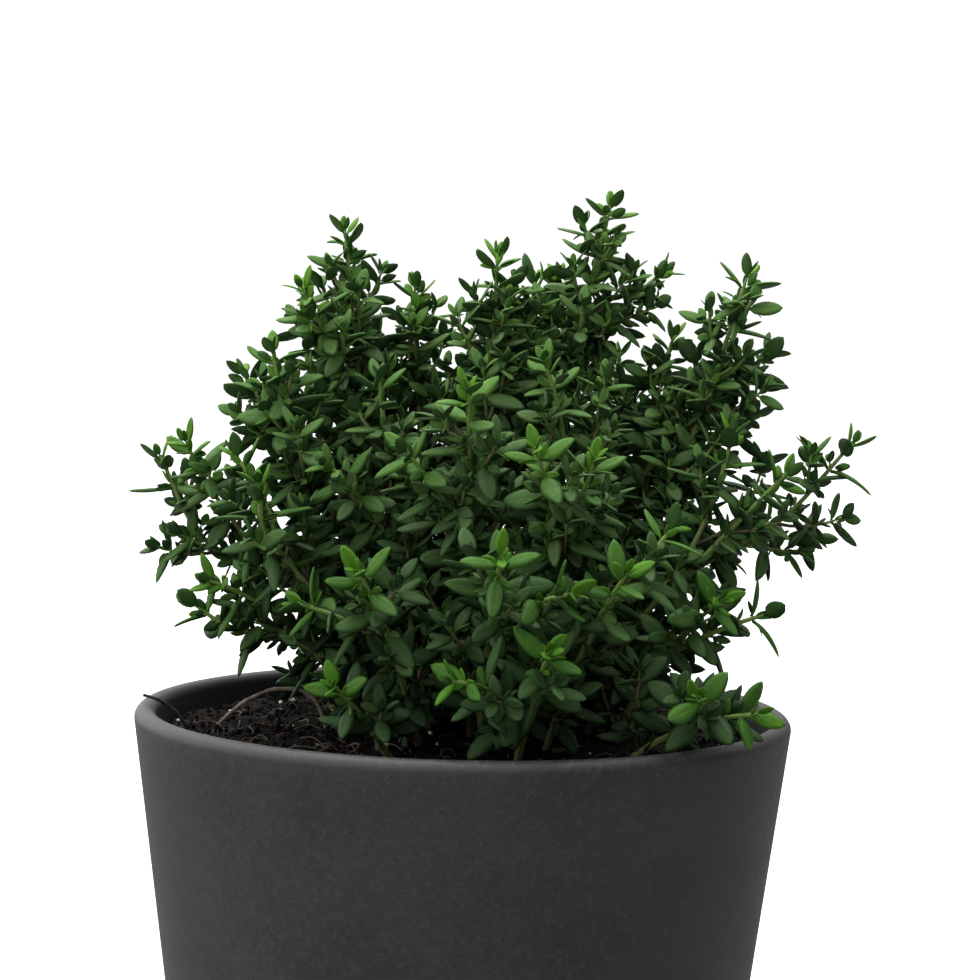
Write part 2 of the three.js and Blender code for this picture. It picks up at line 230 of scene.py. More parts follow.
def section_mesh(name, outline):
    """The section of a round piece, as (radius, height) from the middle of its top, outwards and down."""
    mesh = bpy.data.meshes.new(name)
    corners = [(radius - TURNING_RADIUS, -height, 0) for radius, height in outline]
    mesh.from_pydata(corners, [(i, i + 1) for i in range(len(corners) - 1)], [])
    return mesh


turned, entry = geometry_tree("turned_piece", {"Sides": "Int", "Finish": "Material"})
outline = turned.add("GeometryNodeMeshToCurve", {}, {"Mesh": entry})
round_sizes = {"Resolution": entry.beside("Sides"), "Radius": TURNING_RADIUS}
circle = turned.add("GeometryNodeCurvePrimitiveCircle", {}, round_sizes)
swept = turned.add("GeometryNodeCurveToMesh", {}, {"Curve": circle, "Profile Curve": outline})
closed = turned.add("GeometryNodeMergeByDistance", {}, {"Geometry": swept, "Distance": WELD})
turned.add("NodeGroupOutput", {}, {"Geometry": finished(turned, closed, entry.beside("Finish"))})


def outer_radius(height):
    return BASE_RADIUS + TAPER * height


def arc(centre, radius, first, last, steps):
    """Points of an arc, as (radius, height), from one angle in degrees to another."""
    points = []
    for step in range(steps + 1):
        angle = math.radians(first + (last - first) * step / steps)
        points.append((centre[0] + radius * math.cos(angle), centre[1] + radius * math.sin(angle)))
    return points


pot_finish, paint, place = new_finish("matt_stoneware")
cloud = paint.cloudy(place, 38, 4, 0.6)
grain = paint.cloudy(place, 650, 5, 0.75)
speck = paint.cells(place, 1300)
speck_pick = paint.add("ShaderNodeSeparateColor", {}, {"Color": speck.beside("Color")})
pale = (speck < 0.25) * (speck_pick > 0.9)
dark = (speck < 0.4) * (speck_pick < 0.12)
clay = paint.mixed(paint.ranged(cloud, 0.35, 0.7), (0.0150, 0.0153, 0.0160), (0.023, 0.0234, 0.0245))
clay = paint.mixed(paint.ranged(grain, 0.42, 0.72) * 0.5, clay, (0.052, 0.053, 0.055))
clay = paint.mixed(dark * 0.6, clay, (0.012, 0.012, 0.013))
clay = paint.mixed(pale * 0.45, clay, (0.085, 0.086, 0.088))
# Painted shade: inside the pot the wall is darkened almost to black, as the rim and the plant shade it.
spot = paint.part(place, "X")
reach = (spot * spot + spot.beside("Y") * spot.beside("Y")) ** 0.5
painted_shade_inside = reach < spot.beside("Z") * TAPER + (BASE_RADIUS - WALL * 0.8)
clay = paint.mixed(painted_shade_inside * 0.85, clay, (0.006, 0.006, 0.0055))
# Painted highlight: a thin, speckled pale line along the top of the rim.
painted_rim_highlight = paint.ranged(spot.beside("Z"), POT_HEIGHT - 1.5 * mm, POT_HEIGHT - 0.6 * mm)
clay = paint.mixed(painted_rim_highlight * paint.ranged(grain, 0.50, 0.60) * 0.15, clay, (0.10, 0.102, 0.105))
mottle = grain * 0.6 + cloud * 0.4
surface(paint, clay, grain, 0.46, 0.62, mottle, 0.25, 0.25 * mm)

inner_floor = outer_radius(FLOOR) - WALL
pot_outline = [(0, FLOOR), (inner_floor * 0.6, FLOOR), (inner_floor - 2 * mm, FLOOR)]
pot_outline += [(outer_radius(h) - WALL, h) for h in (8 * mm, 60 * mm, 116 * mm, 121 * mm)]
pot_outline += arc((outer_radius(RIM_CENTRE) - WALL / 2, RIM_CENTRE), WALL / 2, 180, 0, 14)
pot_outline += [(outer_radius(h), h) for h in (120 * mm, 80 * mm, 40 * mm, 6 * mm)]
pot_outline += arc((BASE_RADIUS - BASE_EDGE, BASE_EDGE), BASE_EDGE, 0, -90, 6)
pot_outline += [(BASE_RADIUS - 4 * mm, 0), (BASE_RADIUS * 0.5, 0), (0, 0)]
values = {"Sides": 256, "Finish": pot_finish}
pot = grow("stoneware_pot", section_mesh("pot_outline", pot_outline), turned, values)
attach(pot, "root")
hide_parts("pot")

# ---- Soil ----
# Dark peat mix, pressed in by hand to a few millimetres below the rim and heaped a little round the stems.
# Crumbs of peat, short roots, chips of bark and a few white grains of perlite lie loose in its surface.

SOIL_LEVEL = 119 * mm
SOIL_MOUND = 2 * mm
SOIL_RELIEF = 0.7 * mm
SOIL_CRUMBLE = 0.75 * mm
SOIL_CLEARANCE = 0.45 * mm
SOIL_RINGS = 64
CROWN = Vector((3 * mm, 0))  # the middle of the mound
SOIL_RADIUS = outer_radius(SOIL_LEVEL) - WALL - SOIL_CLEARANCE


def soil_height(x, y):
    """The height of the soil's surface, without its crumbs."""
    reach = (Vector((x, y)) - CROWN).length / (outer_radius(SOIL_LEVEL) - WALL)
    lumps = math.sin(310 * x + 0.6) * math.cos(270 * y) + 0.6 * math.sin(170 * x - 410 * y)
    return SOIL_LEVEL + SOIL_MOUND * (1 - min(1, reach)) + SOIL_RELIEF * lumps


peat_finish, paint, place = new_finish("damp_peat")
clod = paint.cloudy(place, 260, 5, 0.65)
fleck = paint.cells(place, 900)
fleck_pick = paint.add("ShaderNodeSeparateColor", {}, {"Color": fleck.beside("Color")})
earth = paint.mixed(paint.ranged(clod, 0.35, 0.68), (0.0022, 0.0017, 0.0014), (0.0090, 0.0065, 0.0050))
earth = paint.mixed((fleck_pick > 0.9) * (fleck < 0.35) * 0.55, earth, (0.050, 0.032, 0.020))
surface(paint, earth, clod, 0.6, 0.95, clod - fleck * 0.5, 0.8, 0.5 * mm, gloss=0.06)

perlite_finish, paint, place = new_finish("perlite")
pores = paint.cloudy(place, 1500, 3)
white = paint.mixed(paint.ranged(pores, 0.3, 0.6), (0.30, 0.27, 0.23), (0.72, 0.70, 0.66))
surface(paint, white, pores, 0.7, 0.9, pores, 0.6, 0.3 * mm)

bark_finish, paint, place = new_finish("bark_and_roots")
strand = paint.cloudy(place, 420, 4, 0.6)
wood = paint.mixed(paint.ranged(strand, 0.3, 0.7), (0.014, 0.009, 0.006), (0.055, 0.036, 0.023))
surface(paint, wood, strand, 0.6, 0.85, strand, 0.5, 0.3 * mm)

soil_outline = [(SOIL_RADIUS * step / SOIL_RINGS, SOIL_LEVEL) for step in range(SOIL_RINGS + 1)]
soil_outline += [(outer_radius(h) - WALL - SOIL_CLEARANCE, h) for h in (112 * mm, 60 * mm, 8 * mm)]
soil_outline += [(inner_floor - 3 * mm, FLOOR + 0.3 * mm), (0, FLOOR + 0.3 * mm)]
values = {"Sides": 150, "Finish": peat_finish}
soil = grow("peat_soil", section_mesh("soil_outline", soil_outline), turned, values)
for point in soil.data.vertices:
    x, y, z = point.co
    if z > SOIL_LEVEL - 1 * mm:
        crumble = noise.fractal(Vector((x, y, 0)) * 190, 0.9, 2.1, 5)
        point.co.z = soil_height(x, y) + SOIL_CRUMBLE * crumble


def loose(name, shape):
    """An object of a shape, outside the scene."""
    mesh = bpy.data.meshes.new(name)
    shape.to_mesh(mesh)
    shape.free()
    return bpy.data.objects.new(name, mesh)


def lump(name, stretch, roughness, seed):
    """A small crumb or grain about 1 unit across."""
    shape = bmesh.new()
    bmesh.ops.create_icosphere(shape, subdivisions=1, radius=0.5)
    for corner in shape.verts:
        swell = 1 + roughness * noise.noise(corner.co * 2.3 + Vector((seed, 0, 0)))
        corner.co = Vector([c * s * swell for c, s in zip(corner.co, stretch)])
    return loose(name, shape)


def shape_box(name, shapes):
    """A collection that a recipe picks its shapes from. It isn't part of the scene."""
    box = bpy.data.collections.new(name)
    for shape in shapes:
        box.objects.link(shape)
    return box


def placed(tree, points, box, pick, turn, size):
    """Sets one of a box's shapes on each point, turned and sized."""
    each = {"Collection": box, "Separate Children": True, "Reset Children": True}
    values = {
        "Points": points,
        "Instance": tree.add("GeometryNodeCollectionInfo", {}, each),
        "Pick Instance": True,
        "Instance Index": pick,
        "Rotation": tree.add("FunctionNodeEulerToRotation", {}, {"Euler": turn}),
        "Scale": size,
    }
    return tree.add("GeometryNodeInstanceOnPoints", {}, values)


crumb_shapes = shape_box("crumbs", [lump(f"crumb_{i}", (1, 0.8, 0.65), 1.1, 3.7 * i) for i in range(5)])
chip_shapes = shape_box("chips", [lump(f"chip_{i}", (1, 0.45, 0.16), 0.9, 5.1 * i) for i in range(4)])
grain_shapes = shape_box("grains", [lump(f"grain_{i}", (1, 0.85, 0.8), 0.8, 2.9 * i) for i in range(3)])

BIT_SIZES = ("Per Square Metre", "Smallest", "Largest", "Lift", "Tilt")
scattered, entry = geometry_tree(
    "scattered_bits",
    {"Bits": "Collection", "Seed": "Int", "Finish": "Material", **dict.fromkeys(BIT_SIZES, "Float")},
)


def random_value(kind, low, high, seed):
    values = {"Min": low, "Max": high, "Seed": seed}
    return scattered.add("FunctionNodeRandomValue", {"data_type": kind}, values, "Value")


def vector(x, y, z):
    return scattered.add("ShaderNodeCombineXYZ", {}, {"X": x, "Y": y, "Z": z})


HALF_TURN = 3.2  # radians, so that bits lie in every direction
SLOPE = 0.4  # bits lie only where the soil faces upwards at least this much
upward = scattered.part(scattered.add("GeometryNodeInputNormal", {}, {}, "Normal"), "Z") > SLOPE
on_top = scattered.part(scattered.add("GeometryNodeInputPosition", {}, {}), "Z") > SOIL_LEVEL - 6 * mm
density = entry.beside("Per Square Metre")
seed = entry.beside("Seed")
values = {"Mesh": entry, "Selection": upward * on_top, "Density": density, "Seed": seed}
spots = scattered.add("GeometryNodeDistributePointsOnFaces", {}, values, "Points")
share = random_value("FLOAT", 0.0, 1.0, seed) ** 3
size = entry.beside("Smallest") + (entry.beside("Largest") - entry.beside("Smallest")) * share
tilt = entry.beside("Tilt")
least_turn = vector(tilt * -1, tilt * -1, -HALF_TURN)
turn = random_value("FLOAT_VECTOR", least_turn, vector(tilt, tilt, HALF_TURN), 7)
pick = random_value("INT", 0, 4, 11)
lift = vector(0, 0, size * entry.beside("Lift"))
lifted = scattered.add("GeometryNodeSetPosition", {}, {"Geometry": spots, "Offset": lift})
laid = placed(scattered, lifted, entry.beside("Bits"), pick, turn, vector(size, size, size))
scattered.add("NodeGroupOutput", {}, {"Geometry": finished(scattered, laid, entry.beside("Finish"))})

BITS = [
    # name, shapes, finish, and BIT_SIZES, of which the lift is a share of the bit's size
    ("fine_crumbs", crumb_shapes, peat_finish, (260000.0, 0.5 * mm, 1.3 * mm, 0.15, HALF_TURN)),
    ("clods", crumb_shapes, peat_finish, (60000.0, 0.9 * mm, 3.0 * mm, 0.1, HALF_TURN)),
    ("bark_chips", chip_shapes, bark_finish, (4000.0, 1.2 * mm, 4.0 * mm, 0.2, 0.5)),
    ("perlite_dust", grain_shapes, perlite_finish, (2200.0, 0.4 * mm, 1.4 * mm, 0.3, HALF_TURN)),
]
soil_pieces = [soil]
for seed, (name, shapes, finish, sizes) in enumerate(BITS):
    values = {"Bits": shapes, "Seed": seed, "Finish": finish, **dict(zip(BIT_SIZES, sizes))}
    soil_pieces.append(grow(name, soil.data.copy(), scattered, values))

# The larger white grains that the surface shows: x, y and size in millimetres
GRAINS = [
    (-62, 6, 1.2), (-26, 15, 1.5), (-15, -3, 1.125), (-15.5, -29, 1.8), (-5, -23, 1.05), (0.5, -6, 1.2),
    (-47, -22, 0.975), (-36, -33, 1.275), (44, -28, 1.2), (52, 9, 1.575), (-40, 38, 1.65), (12, 48, 1.425),
    (33, 41, 1.125), (-8, 52, 0.9), (24, -52, 0.975), (-52, 18, 1.05), (-30, 3, 0.825), (-58, -10, 0.9),
]
for number, (x, y, across) in enumerate(GRAINS):
    bead = lump(f"perlite_{number}", (1, 0.9, 0.8), 0.9, 1.3 * number)
    spot = Vector((x * mm, y * mm, soil_height(x * mm, y * mm) + 0.5 * across * mm))
    bead.data.transform(Matrix.Translation(spot) @ Matrix.Scale(across * mm, 4))
    bead.data.materials.append(perlite_finish)
    bead.data.polygons.foreach_set("use_smooth", [True] * len(bead.data.polygons))
    bpy.context.collection.objects.link(bead)
    soil_pieces.append(bead)

# ---- Dry stems ----
# Bare, brown leftovers of old sprigs that lie on the soil with their lower ends in it, and a thin dark twig
# that leans on the rim. Each is woody and a little knotty, with bark that has dried in fine wrinkles.


class Skeleton:
    """The lines of a plant's stems and the places of its leaves, for the recipe that grows it."""

    def __init__(self):
        self.points = []
        self.edges = []
        self.girths = []
        self.ages = []
        self.leaves = []

    def stem(self, points, girths, ages):
        first = len(self.points)
        self.points += points
        self.girths += girths
        self.ages += ages
        self.edges += [(first + i, first + i + 1) for i in range(len(points) - 1)]

    def leaf(self, place, turn, size, shape, tone, age):
        self.leaves.append((place, turn, size, shape, tone, age))

    def mesh(self, name):
        bare = len(self.points)
        leaves = self.leaves
        mesh = bpy.data.meshes.new(name)
        mesh.from_pydata(self.points + [leaf[0] for leaf in leaves], self.edges, [])

        def keep(label, kind, values):
            data = mesh.attributes.new(label, kind, "POINT").data
            if kind == "FLOAT_VECTOR":
                data.foreach_set("vector", [part for value in values for part in value])
            else:
                data.foreach_set("value", values)

        zero = (0.0, 0.0, 0.0)
        keep("is_leaf", "BOOLEAN", [False] * bare + [True] * len(leaves))
        keep("girth", "FLOAT", self.girths + [0.0] * len(leaves))
        keep("turn", "FLOAT_VECTOR", [zero] * bare + [leaf[1] for leaf in leaves])
        keep("size", "FLOAT_VECTOR", [zero] * bare + [leaf[2] for leaf in leaves])
        keep("shape", "INT", [0] * bare + [leaf[3] for leaf in leaves])
        keep("tone", "FLOAT", [0.5] * bare + [leaf[4] for leaf in leaves])
        keep("age", "FLOAT", self.ages + [leaf[5] for leaf in leaves])
        return mesh


plant, entry = geometry_tree(
    "stems_and_leaves",
    {"Stem Sides": "Int", "Leaf Shapes": "Collection", "Stem Finish": "Material", "Leaf Finish": "Material"},
)


def stored(kind, label):
    """What the skeleton says at each point."""
    return plant.add("GeometryNodeInputNamedAttribute", {"data_type": kind}, {"Name": label}, "Attribute")


values = {"Geometry": entry, "Selection": stored("BOOLEAN", "is_leaf")}
parted = plant.add("GeometryNodeSeparateGeometry", {"domain": "POINT"}, values, "Selection")
lines = plant.add("GeometryNodeMeshToCurve", {}, {"Mesh": parted.beside("Inverted")})
round_sizes = {"Resolution": entry.beside("Stem Sides"), "Radius": 1.0}
section = plant.add("GeometryNodeCurvePrimitiveCircle", {}, round_sizes)
values = {"Curve": lines, "Profile Curve": section, "Scale": stored("FLOAT", "girth"), "Fill Caps": True}
tubes = plant.add("GeometryNodeCurveToMesh", {}, values)
shape = stored("INT", "shape")
turn = stored("FLOAT_VECTOR", "turn")
leaves = placed(plant, parted, entry.beside("Leaf Shapes"), shape, turn, stored("FLOAT_VECTOR", "size"))
joined = plant.add("GeometryNodeJoinGeometry", {}, {})
for geometry, finish in ((tubes, "Stem Finish"), (leaves, "Leaf Finish")):
    dressed = finished(plant, geometry, entry.beside(finish))
    plant.nodes.links.new(dressed.socket, joined.socket.node.inputs[0])
plant.add("NodeGroupOutput", {}, {"Geometry": joined})


def grow_plant(name, skeleton, sides, bark, shapes, green):
    """Grows the stems and leaves of a skeleton: one finish for its bark, one for its leaves."""
    values = {"Stem Sides": sides, "Leaf Shapes": shapes, "Stem Finish": bark, "Leaf Finish": green}
    return grow(name, skeleton.mesh(name + "_lines"), plant, values)


dry_finish, paint, place = new_finish("dry_bark")
band = paint.cloudy(place, 300, 4, 0.6)
crack = paint.cloudy(place, 1700, 3, 0.7)
husk = paint.mixed(paint.ranged(band, 0.35, 0.65), (0.11, 0.080, 0.056), (0.25, 0.195, 0.145))
husk = paint.mixed(paint.ranged(crack, 0.52, 0.7) * 0.7, husk, (0.030, 0.018, 0.012))
surface(paint, husk, crack, 0.6, 0.85, crack + band, 0.7, 0.3 * mm)

dark_finish, paint, place = new_finish("dark_twig")
crack = paint.cloudy(place, 900, 3, 0.7)
husk = paint.mixed(paint.ranged(crack, 0.35, 0.7), (0.012, 0.010, 0.008), (0.045, 0.034, 0.024))
surface(paint, husk, crack, 0.5, 0.8, crack, 0.5, 0.2 * mm)


def rounded_path(corners, steps):
    """A smooth line through all the corners."""
    ends = [corners[0] * 2 - corners[1]] + corners + [corners[-1] * 2 - corners[-2]]
    path = []
    for a, b, c, d in zip(ends, ends[1:], ends[2:], ends[3:]):
        for step in range(steps):
            t = step / steps
            bend = 2 * a - 5 * b + 4 * c - d
            swing = 3 * b - a - 3 * c + d
            path.append(0.5 * (2 * b + (c - a) * t + bend * t**2 + swing * t**3))
    return path + [corners[-1]]


DRY_STEMS = [
    # name, radius, finish, points
    ("dry_stem_left", 0.5, dry_finish, [
        (-27, -4, 112), (-31.5, -4, 126), (-39, -4, 128.4),
        (-45.8, -4.5, 126), (-49.4, -5, 123.2), (-52.5, -6, 120.3),
    ]),
    ("dry_stem_middle", 0.6, dry_finish, [
        (-30, 4, 112), (-21.1, -1, 120.6), (-17.9, -0.5, 122.4), (-11, 1, 126.6),
    ]),
    ("rim_twig", 0.42, dark_finish, [
        (-56, -1, 114), (-60.5, -3, 121.6), (-64.3, -4.7, 125.2), (-68, -6, 126.7),
    ]),
]
no_leaves = shape_box("no_leaves", [])
for name, radius, finish, corners in DRY_STEMS:
    path = rounded_path([Vector(corner) * mm for corner in corners], 10)
    chance = random.Random(name)
    girths = []
    for i in range(len(path)):
        knot = 0.2 if i % 9 == 4 else 0.0
        taper = 0.95 - 0.2 * i / len(path)
        girths.append(radius * mm * (taper + chance.uniform(-0.08, 0.08) + knot))
    skeleton = Skeleton()
    skeleton.stem(path, girths, [1.0] * len(path))
    twig = grow_plant("bare_" + name, skeleton, 8, finish, no_leaves, finish)
    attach(twig, "root")
    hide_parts(name)

# Short roots and stalks in the soil's surface, which belong to it: shallow arches with their ends in the soil
ROOT_COUNT = 150
ROOT_STEPS = 6
chance = random.Random("roots")
roots = Skeleton()
for _ in range(ROOT_COUNT):
    angle = chance.uniform(0, 2 * math.pi)
    reach = math.sqrt(chance.random()) * (SOIL_RADIUS - 8 * mm)
    spot = Vector((reach * math.cos(angle), reach * math.sin(angle), 0))
    heading = chance.uniform(0, 2 * math.pi)
    length = chance.uniform(2, 9) * mm
    bow = chance.uniform(-0.35, 0.35) * length
    path = []
    for step in range(ROOT_STEPS + 1):
        t = step / ROOT_STEPS - 0.5
        arch = (0.25 - t * t) * 4
        along = Vector((math.cos(heading), math.sin(heading), 0)) * (t * length)
        aside = Vector((-math.sin(heading), math.cos(heading), 0)) * (bow * arch)
        point = spot + along + aside
        point.z = soil_height(point.x, point.y) + (0.55 + 0.6 * arch - 0.9 * abs(t)) * mm
        path.append(point)
    girth = chance.uniform(0.08, 0.28) * mm
    roots.stem(path, [girth] * len(path), [1.0] * len(path))
soil_pieces.append(grow_plant("roots", roots, 4, bark_finish, no_leaves, bark_finish))

together = {"active_object": soil, "selected_objects": soil_pieces, "selected_editable_objects": soil_pieces}
with bpy.context.temp_override(**together):
    bpy.ops.object.join()
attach(soil, "root")
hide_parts("potting_soil")

# ---- Leaves ----
# Small, thick, pointed ovals on very short stalks, with a sunken midrib, faint side veins and edges that roll
# They are soft green and slightly greyed by fine hairs, brightest at the tips, with painted shade underneath.

LEAF_STATIONS = (0, 0.07, 0.17, 0.30, 0.45, 0.61, 0.77, 0.90)  # of its cross sections, from the stalk on
LEAF_THICKNESS = 0.072  # over its length
STALK_WIDTH = 0.13  # over the leaf's greatest width
STALK_END = 0.15  # over the leaf's length
LEAF_KINDS = [
    # width over length, where it is widest, bluntness, fold, rolled edge, droop, sideways bend
    (0.42, 0.47, 0.66, 0.16, 0.34, 0.10, 0.00),
    (0.40, 0.50, 0.70, 0.26, 0.40, 0.20, 0.05),
    (0.46, 0.46, 0.66, 0.10, 0.28, 0.30, -0.04),
    (0.38, 0.52, 0.60, 0.32, 0.42, 0.02, 0.04),
    (0.43, 0.48, 0.74, 0.20, 0.40, 0.36, -0.06),
    (0.41, 0.54, 0.58, 0.12, 0.34, -0.06, 0.06),
    (0.38, 0.49, 0.70, 0.36, 0.42, 0.14, -0.03),
    (0.47, 0.48, 0.64, 0.08, 0.30, 0.20, 0.02),
]


def leaf_outline(t, widest, bluntness):
    """A leaf's width at a place along it, over its greatest: a stalk, then an oval that ends in a point."""
    oval = math.sin(math.pi * t ** (math.log(0.5) / math.log(widest))) ** bluntness
    return max(STALK_WIDTH, oval * min(1, t / STALK_END))


def leaf_shape(name, width, widest, bluntness, fold, roll, droop, bend):
    """A closed, thin leaf, 1 unit long along Y. Across it, its map runs 0..1 on top and 1..2 below."""
    half = width / 2
    shape = bmesh.new()
    rings = []
    for t in LEAF_STATIONS:
        w = half * leaf_outline(t, widest, bluntness)
        spine = Vector((bend * t * t, t, -droop * t * t))
        thick = LEAF_THICKNESS * (1 - 0.3 * t)
        groove = 0.04 * w
        side_lift = fold * 0.5 * w
        edge_lift = (fold - roll) * w - 0.4 * thick
        ring = [(-w, edge_lift), (-w / 2, side_lift), (0, -groove), (w / 2, side_lift), (w, edge_lift)]
        ring.append((0, -groove - thick))
        rings.append([shape.verts.new(spine + Vector((x, 0, z))) for x, z in ring])
    tip = shape.verts.new(Vector((bend, 1, -droop - 0.3 * LEAF_THICKNESS)))
    chart = shape.loops.layers.uv.new("leaf_map")
    across = [0, 0.25, 0.5, 0.75, 1, 1.5, 2]

    def face(corners, marks):
        made = shape.faces.new(corners)
        made.smooth = True
        for loop, mark in zip(made.loops, marks):
            loop[chart].uv = mark

    for near, far, t0, t1 in zip(rings, rings[1:], LEAF_STATIONS, LEAF_STATIONS[1:]):
        for i in range(6):
            j = (i + 1) % 6
            corners = [near[i], near[j], far[j], far[i]]
            face(corners, [(across[i], t0), (across[i + 1], t0), (across[i + 1], t1), (across[i], t1)])
    last = rings[-1]
    for i in range(6):
        t = LEAF_STATIONS[-1]
        face([last[i], last[(i + 1) % 6], tip], [(across[i], t), (across[i + 1], t), (across[i] + 0.1, 1)])
    face(list(reversed(rings[0])), [(0.5, 0)] * 6)
    return loose(name, shape)


leaf_shapes = shape_box("leaf_shapes", [leaf_shape(f"leaf_{i}", *kind) for i, kind in enumerate(LEAF_KINDS)])

leaf_finish, paint, place = new_finish("thyme_leaf")
chart = paint.add("ShaderNodeUVMap", {"uv_map": "leaf_map"}, {}, "UV")
across = paint.part(chart, "X")
along = across.beside("Y")
tone = paint.add("ShaderNodeAttribute", {"attribute_name": "tone"}, {}, "Fac")
age = paint.add("ShaderNodeAttribute", {"attribute_name": "age"}, {}, "Fac")
below = across > 1.0
from_rib = abs(across - 0.5) * 2
rib = paint.ranged(from_rib, 0.05, 0.2, 1.0, 0.0) * (1 - below)
lattice = (along * 38 + from_rib * -9).math("SINE")
veins = paint.ranged(lattice, 0.55, 1.0) * paint.ranged(from_rib, 0.1, 0.9, 0.8, 0.1) * (1 - below)
margin = paint.ranged(from_rib, 0.8, 1.0) * (1 - below)
blotch = paint.cloudy(place, 420, 3, 0.6)
pit = paint.cells(place, 2600)
bud = paint.mixed(tone, (0.050, 0.155, 0.007), (0.125, 0.300, 0.022))
young = paint.mixed(tone, (0.032, 0.094, 0.013), (0.105, 0.225, 0.048))
grown = paint.mixed(tone, (0.034, 0.077, 0.022), (0.118, 0.205, 0.072))
old = paint.mixed(tone, (0.013, 0.029, 0.010), (0.040, 0.078, 0.029))
green = paint.mixed(paint.ranged(age, 0.0, 0.14), bud, young)
green = paint.mixed(paint.ranged(age, 0.08, 0.5), green, grown)
# The old colour also serves as painted shade for leaves deep in the bush and low in it.
green = paint.mixed(paint.ranged(age, 0.5, 1.0), green, old)
green = paint.mixed(paint.ranged(along, 0.0, 0.45, 0.35, 0.0) * (1 - age), green, (0.105, 0.28, 0.010))
green = paint.mixed(paint.ranged(blotch, 0.4, 0.7) * 0.3, green, (0.022, 0.066, 0.022))
green = paint.mixed(rib * 0.10, green, (0.075, 0.18, 0.035))
green = paint.mixed(veins * 0.06, green, (0.06, 0.15, 0.03))
green = paint.mixed(margin * 0.3, green, (0.010, 0.032, 0.014))
# Painted shade: the undersides get one dark grey-green, darker than the tops of most leaves.
green = paint.mixed(below * 0.7, green, (0.032, 0.070, 0.030))
relief = blotch * 0.5 - rib * 0.4 - veins * 0.15 + paint.ranged(pit, 0.0, 0.5) * 0.25
surface(paint, green, blotch, 0.45, 0.62, relief, 0.5, 0.25 * mm, gloss=0.10)

# ---- Sprigs ----
# Each sprig is a wiry, woody stem that is rooted in the soil, arches outwards and forks near its tip. Leaves
# stand on it in crossed pairs, with tufts of small ones in their axils, and short shoots fill its lower part.

FOOT_DEPTH = 9 * mm
STEM_BEND = 0.55  # how far along its chord a main stem bends
SHOOT_BEND = 0.45  # the same for a side shoot
ROOT_GIRTH = 0.95 * mm  # this and the next two are radii
FORK_GIRTH = 0.64 * mm
TIP_GIRTH = 0.44 * mm
SHORT_GIRTHS = (0.45 * mm, 0.3 * mm)
TUFT_GIRTHS = [0.32 * mm, 0.28 * mm, 0.22 * mm]
STEM_BARE = 14 * mm  # without leaves, above its foot
SHOOT_BARE = 4 * mm
SHORT_BARE = 1.5 * mm
GOLDEN_TURN = 2.39996  # radians from one shoot to the next, round the stem
# From a shoot's tip down: distance from the tip, leaf length in millimetres, and angle to the stem in degrees
LEAF_PAIRS = [(1.2, 5.4, 30), (3.6, 7.6, 56), (7.6, 9.3, 70), (13, 9.8, 79), (20, 9.6, 86)]
SHORT_PAIRS = [(0.6, 5.4, 32), (3.0, 7.6, 58), (7.2, 8.8, 74)]  # the same for a short shoot
# How a sprig grows below its LEAF_PAIRS: distance between leaf pairs, distance of its first short shoot from
# its tip, distance between short shoots, how far tufts reach out of the axils, and how old short shoots look
Habit = namedtuple("Habit", "spacing first_shoot every_shoot tufts ripe")
CLOSE = Habit(5.6 * mm, 12 * mm, 3.8 * mm, 0.8, 0.10)  # the tall ones at the top
BUSHY = Habit(7.0 * mm, 15 * mm, 5.6 * mm, 0.7, 0.35)  # in the middle, and every short shoot
LOOSE = Habit(8.4 * mm, 18 * mm, 9.0 * mm, 0.6, 0.25)  # beside the ones that lean out
OPEN = Habit(8.5 * mm, 15 * mm, 9.0 * mm, 0.6, 0.12)  # the long ones that lean out
SPARSE = Habit(9.0 * mm, 18 * mm, 9.5 * mm, 0.6, 0.40)  # low, with gaps between them
FRONT = Habit(8.6 * mm, 15 * mm, 8.8 * mm, 0.45, 0.50)  # the rosettes at the front
THIN = Habit(10.0 * mm, 24 * mm, 15 * mm, 0.4, 0.40)  # the lowest at the back
